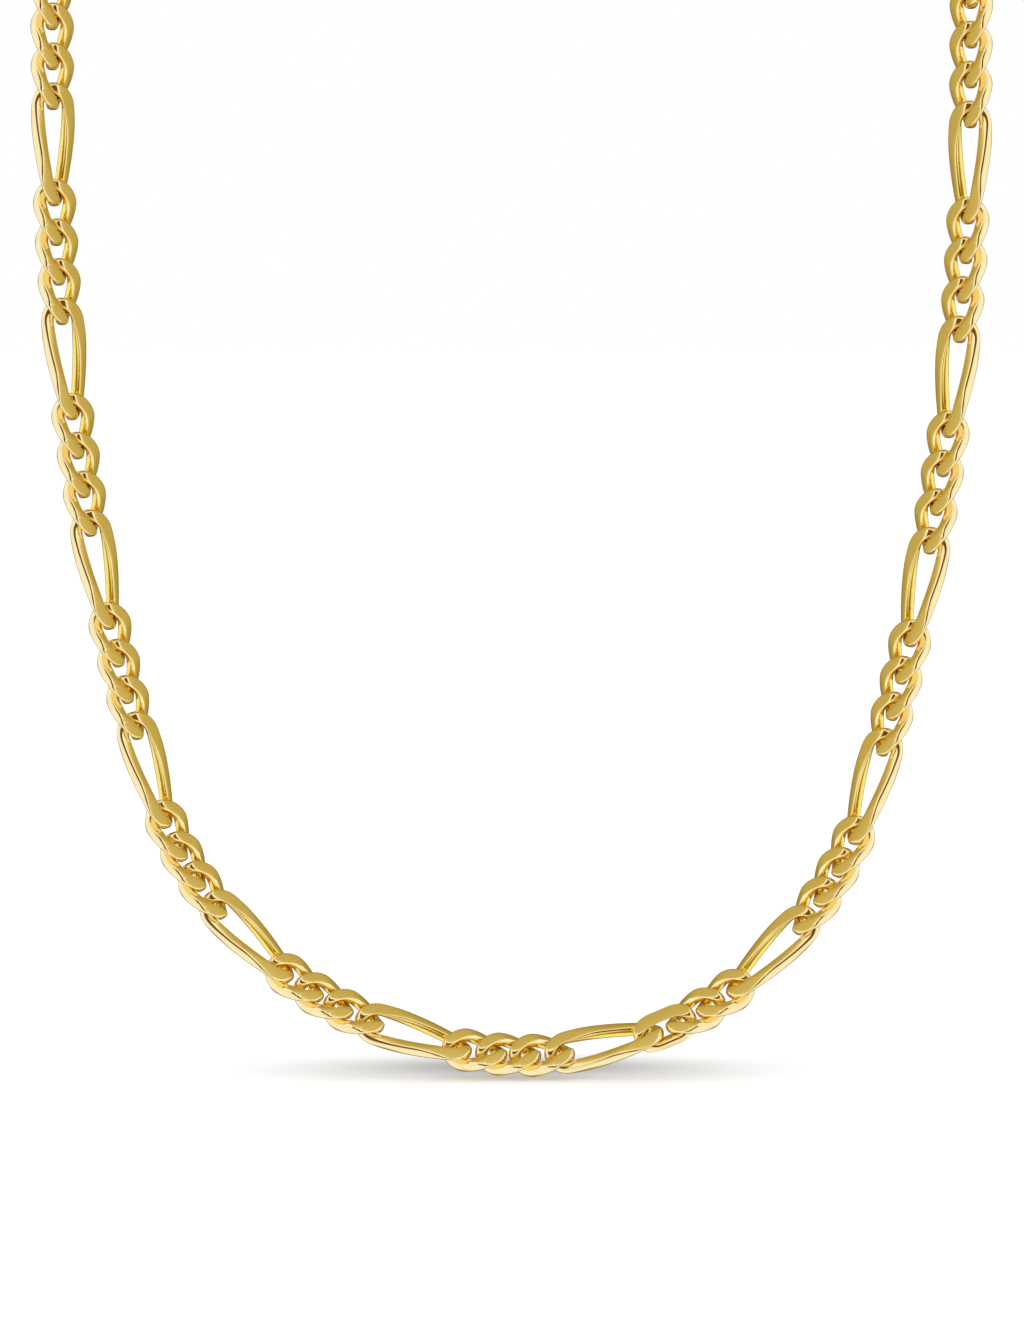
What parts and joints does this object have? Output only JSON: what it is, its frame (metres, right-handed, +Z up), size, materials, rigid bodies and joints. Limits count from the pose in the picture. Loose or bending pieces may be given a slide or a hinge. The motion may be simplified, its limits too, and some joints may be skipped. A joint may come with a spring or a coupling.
{
  "type": "figaro chain necklace",
  "caption": "Gold figaro chain necklace: flat-cut twisted curb links, short ones between long ones, in one closed loop hanging from the nape.",
  "frame": {"origin": "the side of the clasp's barrel that rests on the nape, at the back and top of the loop", "axes": "+X to the viewer's right, +Z up, -Y towards the viewer; the front of the loop hangs in a plane square to Y"},
  "size_m": [0.1176, 0.0836, 0.2049],
  "materials": {
    "gold": "polished yellow gold with flat-cut faces"
  },
  "bodies": {
    "root": {"left_chain": "gold", "right_chain": "gold", "left_ring": "gold", "clasp": "gold", "right_ring": "gold"}
  },
  "joints": []
}
